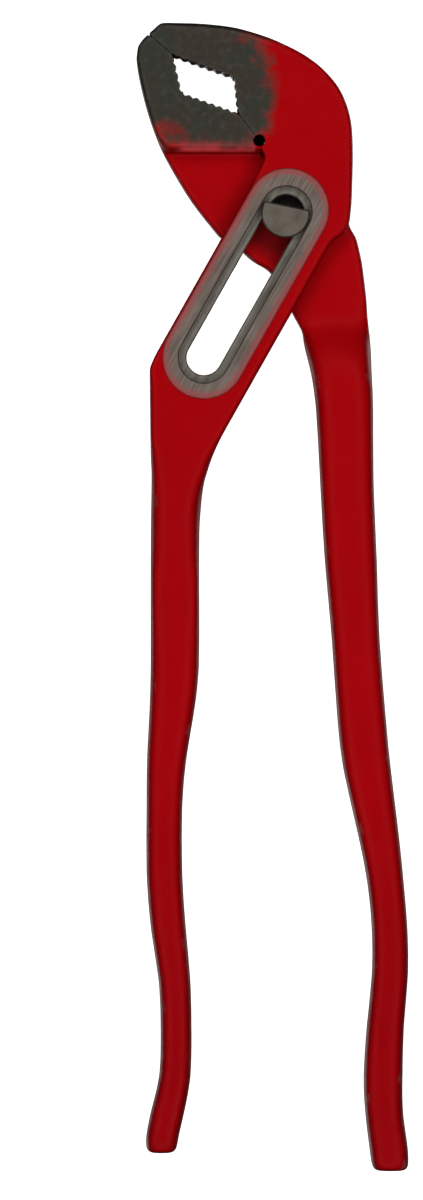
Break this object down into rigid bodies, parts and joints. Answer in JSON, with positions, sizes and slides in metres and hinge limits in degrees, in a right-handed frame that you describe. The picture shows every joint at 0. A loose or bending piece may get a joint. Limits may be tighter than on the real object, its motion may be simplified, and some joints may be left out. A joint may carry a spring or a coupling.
{
  "type": "water pump pliers",
  "caption": "Slip-joint water pump pliers with a hooked upper jaw, a toothed V grip, a slotted adjusting joint and bare red handles.",
  "frame": {"origin": "on the pivot axis, in the plane that the pliers lie on", "axes": "+Y towards the jaws, +X to the right of the front face, +Z out of the front face"},
  "size_m": [0.0594, 0.25, 0.0132],
  "materials": {
    "red_enamel": "gloss",
    "pivot_steel": "ground"
  },
  "bodies": {
    "hook": {"hook_lever": "red_enamel"},
    "pivot": {"pivot_bolt": "pivot_steel", "pivot_washer": "pivot_steel", "pivot_nut": "pivot_steel"},
    "jaw": {"jaw_lever": "red_enamel"}
  },
  "joints": [
    {"name": "setting_slide", "type": "slide", "parent": "hook", "child": "pivot", "axis": [-0.4924, -0.8704, 0], "range_m": [0, 0.0342]},
    {"name": "jaw_hinge", "type": "hinge", "parent": "pivot", "child": "jaw", "pos_m": [0, 0, 0.0033], "axis": [0, 0, 1], "range_deg": [0, 45]}
  ]
}
